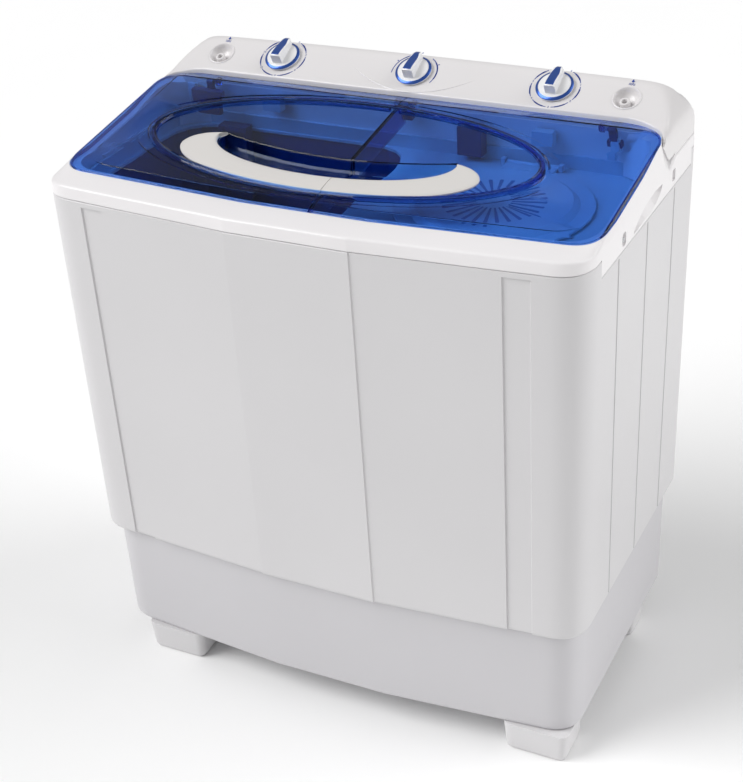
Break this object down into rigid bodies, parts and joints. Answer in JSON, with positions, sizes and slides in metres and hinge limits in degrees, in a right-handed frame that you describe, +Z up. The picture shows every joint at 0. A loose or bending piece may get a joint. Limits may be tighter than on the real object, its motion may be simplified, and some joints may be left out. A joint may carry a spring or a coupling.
{
  "type": "twin tub washer",
  "caption": "Portable top-loading washer with a wash tub beside a spin tub, two blue hinged lids, a sloping console with turn knobs, and a recessed base on feet.",
  "frame": {"origin": "on the floor, under the middle of the machine's width and depth", "axes": "+Z up, -Y towards the user at the front, +X to the right as seen from the front"},
  "size_m": [0.734, 0.456, 0.8456],
  "materials": {
    "body_plastic": "satin moulded white",
    "deck_plastic": "smooth glossy white",
    "tub_plastic": "pale blue-white, smooth",
    "lid_blue": "transparent blue, clear",
    "grip_white": "warm white, smooth",
    "dark_plastic": "dark blue, matt",
    "steel": "zinc plated",
    "motor_case": null,
    "rubber": "black, matt"
  },
  "bodies": {
    "washer": {"base_skirt": "body_plastic", "foot_front_left": "body_plastic", "foot_front_right": "body_plastic", "foot_rear_left": "body_plastic", "foot_rear_right": "body_plastic", "cabinet_shell": "body_plastic", "back_cover": "body_plastic", "drain_pipe": "body_plastic", "top_deck": "deck_plastic", "console_housing": "deck_plastic", "water_inlet_left": "deck_plastic", "water_inlet_right": "deck_plastic", "tub_collar": "tub_plastic", "wash_tub": "tub_plastic", "spin_outer_tub": "tub_plastic", "cover_lug_left": "tub_plastic", "cover_lug_right": "tub_plastic", "wash_fill_spout": "tub_plastic", "spin_fill_spout": "tub_plastic", "lid_bracket_left": "dark_plastic", "lid_bracket_middle": "dark_plastic", "lid_bracket_right": "dark_plastic", "wash_timer_body": "dark_plastic", "selector_body": "dark_plastic", "spin_timer_body": "dark_plastic", "drain_valve_body": "dark_plastic", "lid_switch_box": "dark_plastic", "spin_motor_plate": "steel", "spin_spring_1": "steel", "spin_spring_2": "steel", "spin_spring_3": "steel", "brake_pivot": "steel", "side_screw_left": "steel", "side_screw_right": "steel", "gearbox_housing": "motor_case", "wash_motor": "motor_case", "spin_motor": "motor_case", "capacitor": "motor_case", "drive_belt": "rubber", "spin_bellows": "rubber", "cable_gland": "rubber"},
    "wash_lid": {"wash_lid": "lid_blue", "wash_lid_grip": "grip_white"},
    "spin_lid": {"spin_lid": "lid_blue", "spin_lid_grip": "grip_white"},
    "wash_timer_knob": {"wash_timer_knob": "grip_white"},
    "selector_knob": {"selector_knob": "grip_white"},
    "spin_timer_knob": {"spin_timer_knob": "grip_white"},
    "agitator": {"pulsator": "tub_plastic", "pulsator_shaft": "steel", "pulsator_pulley": "motor_case"},
    "motor_pulley": {"wash_motor_pulley": "steel"},
    "spin_rotor": {"spin_shaft": "steel", "spin_basket": "tub_plastic"},
    "press_disc": {"press_disc": "tub_plastic"},
    "inner_cover": {"spin_inner_cover": "tub_plastic"},
    "brake_lever": {"brake_lever": "steel"},
    "drain_stem": {"drain_valve_stem": "rubber"},
    "lint_filter": {"lint_filter": "dark_plastic"}
  },
  "joints": [
    {"name": "wash_lid_hinge", "type": "hinge", "parent": "washer", "child": "wash_lid", "pos_m": [-0.14, 0.10413, 0.78575], "axis": [-1, 0, 0], "range_deg": [0, 98]},
    {"name": "spin_lid_hinge", "type": "hinge", "parent": "washer", "child": "spin_lid", "pos_m": [0.15, 0.10413, 0.78575], "axis": [-1, 0, 0], "range_deg": [0, 98]},
    {"name": "wash_timer_turn", "type": "hinge", "parent": "washer", "child": "wash_timer_knob", "pos_m": [-0.1995, 0.15074, 0.81486], "axis": [0, 0.4741, -0.8805], "range_deg": [0, 300]},
    {"name": "selector_turn", "type": "hinge", "parent": "washer", "child": "selector_knob", "pos_m": [0, 0.15074, 0.81486], "axis": [0, 0.4741, -0.8805], "range_deg": [-60, 60]},
    {"name": "spin_timer_turn", "type": "hinge", "parent": "washer", "child": "spin_timer_knob", "pos_m": [0.1995, 0.15074, 0.81486], "axis": [0, 0.4741, -0.8805], "range_deg": [0, 290]},
    {"name": "pulsator_spin", "type": "hinge", "parent": "washer", "child": "agitator", "pos_m": [-0.162, -0.033, 0.27], "axis": [0, 0, 1], "continuous": true},
    {"name": "wash_motor_spin", "type": "hinge", "parent": "washer", "child": "motor_pulley", "pos_m": [-0.272, 0.108, 0.2], "axis": [0, 0, 1], "continuous": true},
    {"name": "spin_basket_spin", "type": "hinge", "parent": "washer", "child": "spin_rotor", "pos_m": [0.187, -0.03, 0.3], "axis": [0, 0, 1], "continuous": true},
    {"name": "press_disc_slide", "type": "slide", "parent": "spin_rotor", "child": "press_disc", "axis": [0, 0, 1], "range_m": [-0.28, 0]},
    {"name": "inner_cover_hinge", "type": "hinge", "parent": "washer", "child": "inner_cover", "pos_m": [0.187, 0.104, 0.725], "axis": [-1, 0, 0], "range_deg": [0, 75]},
    {"name": "brake_lever_turn", "type": "hinge", "parent": "washer", "child": "brake_lever", "pos_m": [0.249, 0.01, 0.209], "axis": [0, 0, 1], "range_deg": [-3.5, 0]},
    {"name": "drain_valve_lift", "type": "slide", "parent": "washer", "child": "drain_stem", "axis": [0, 0, 1], "range_m": [0, 0.012], "stiffness_N_per_m": 400, "springref_m": -0.004},
    {"name": "lint_filter_slide", "type": "slide", "parent": "washer", "child": "lint_filter", "axis": [0, 0, 1], "range_m": [0, 0.04]}
  ],
  "couplings": [
    {"joint": "inner_cover_hinge", "follows": "spin_lid_hinge", "ratio": 0.7652},
    {"joint": "brake_lever_turn", "follows": "spin_lid_hinge", "ratio": -0.0357},
    {"joint": "wash_motor_spin", "follows": "pulsator_spin", "ratio": 3.7273}
  ]
}
